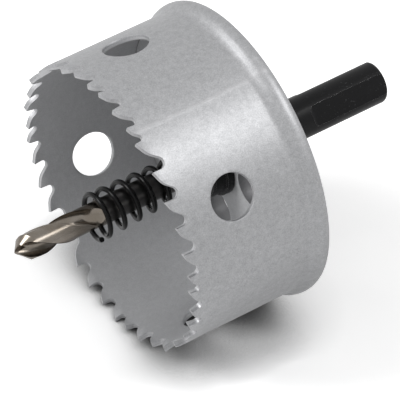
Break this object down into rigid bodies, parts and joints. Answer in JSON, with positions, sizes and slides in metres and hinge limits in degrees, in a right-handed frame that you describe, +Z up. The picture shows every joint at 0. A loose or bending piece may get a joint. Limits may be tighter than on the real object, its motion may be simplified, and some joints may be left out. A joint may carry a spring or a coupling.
{
  "type": "hole saw",
  "caption": "Toothed cup-shaped hole saw on a three-flat shank, with pilot drill, coil ejector spring and round holes in its side and end plate.",
  "frame": {"origin": "on the floor under the middle of the bounding box, with the saw lying on two tooth tips and its flared back", "axes": "the saw axis runs from the toothed mouth towards the shank along +X and rises 1.9 degrees; +Z is up"},
  "size_m": [0.1078, 0.0792, 0.0792],
  "materials": {
    "silver_paint": "satin metallic",
    "weld_steel": "matt",
    "black_steel": "semi-gloss black oxide",
    "drill_steel": "ground, dark shank",
    "spring_steel": "semi-gloss black oxide"
  },
  "bodies": {
    "root": {"saw_cup": "silver_paint", "end_plate": "silver_paint", "weld_bead": "weld_steel", "arbor": "black_steel", "lock_nut": "black_steel", "pilot_drill": "drill_steel", "drill_grub_screw": "black_steel", "ejector_spring": "spring_steel"}
  },
  "joints": []
}
